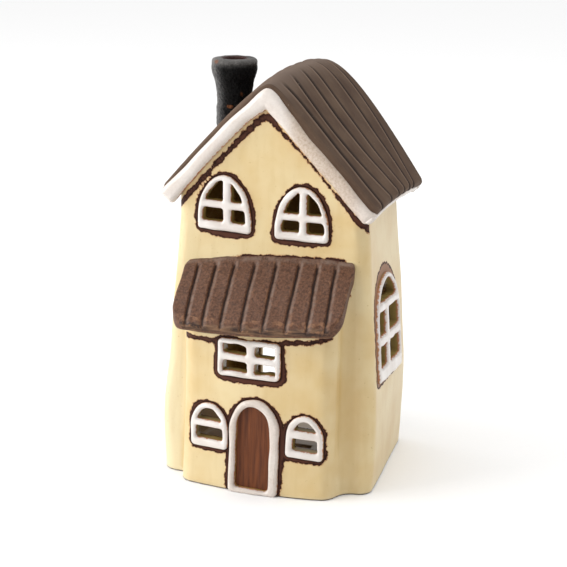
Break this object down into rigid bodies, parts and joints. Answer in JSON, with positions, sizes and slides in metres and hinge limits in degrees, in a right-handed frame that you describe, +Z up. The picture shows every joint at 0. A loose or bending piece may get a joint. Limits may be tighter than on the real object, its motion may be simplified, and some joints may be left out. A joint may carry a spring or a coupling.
{
  "type": "tea light house",
  "caption": "Glazed pottery house that holds a tea light, with pierced windows, a lean-to roof over the door, a tiled gable roof and an open chimney.",
  "frame": {"origin": "middle of the underside of the base slab, on the surface that it stands on", "axes": "+Z up, -Y out of the front door, +X to the right of someone facing the front door"},
  "size_m": [0.107, 0.104, 0.1945],
  "materials": {
    "cream_glaze": "warm cream satin glaze, ochre where it pools",
    "white_glaze": "thick white gloss glaze that breaks orange-brown at its edges",
    "brown_roof_glaze": "matte taupe-brown glaze, paler on worn edges",
    "dark_lean_to_glaze": "semi-matte dark brown glaze with coppery edges",
    "charcoal_glaze": "rough charcoal glaze over grogged clay",
    "door_glaze": "reddish brown brushed glaze"
  },
  "bodies": {
    "root": {"base_slab": "cream_glaze", "front_wall": "cream_glaze", "back_wall": "cream_glaze", "left_wall": "cream_glaze", "right_wall": "cream_glaze", "bay_wall": "cream_glaze", "left_roof_slope": "brown_roof_glaze", "right_roof_slope": "brown_roof_glaze", "front_left_bargeboard": "white_glaze", "front_right_bargeboard": "white_glaze", "back_left_bargeboard": "white_glaze", "back_right_bargeboard": "white_glaze", "left_eave_fascia": "white_glaze", "right_eave_fascia": "white_glaze", "lean_to_roof": "dark_lean_to_glaze", "chimney": "charcoal_glaze", "door_panel": "door_glaze", "door_surround": "white_glaze", "upper_left_window": "white_glaze", "upper_right_window": "white_glaze", "centre_window": "white_glaze", "lower_left_window": "white_glaze", "lower_right_window": "white_glaze", "right_side_window": "white_glaze", "left_side_window": "white_glaze"}
  },
  "joints": []
}
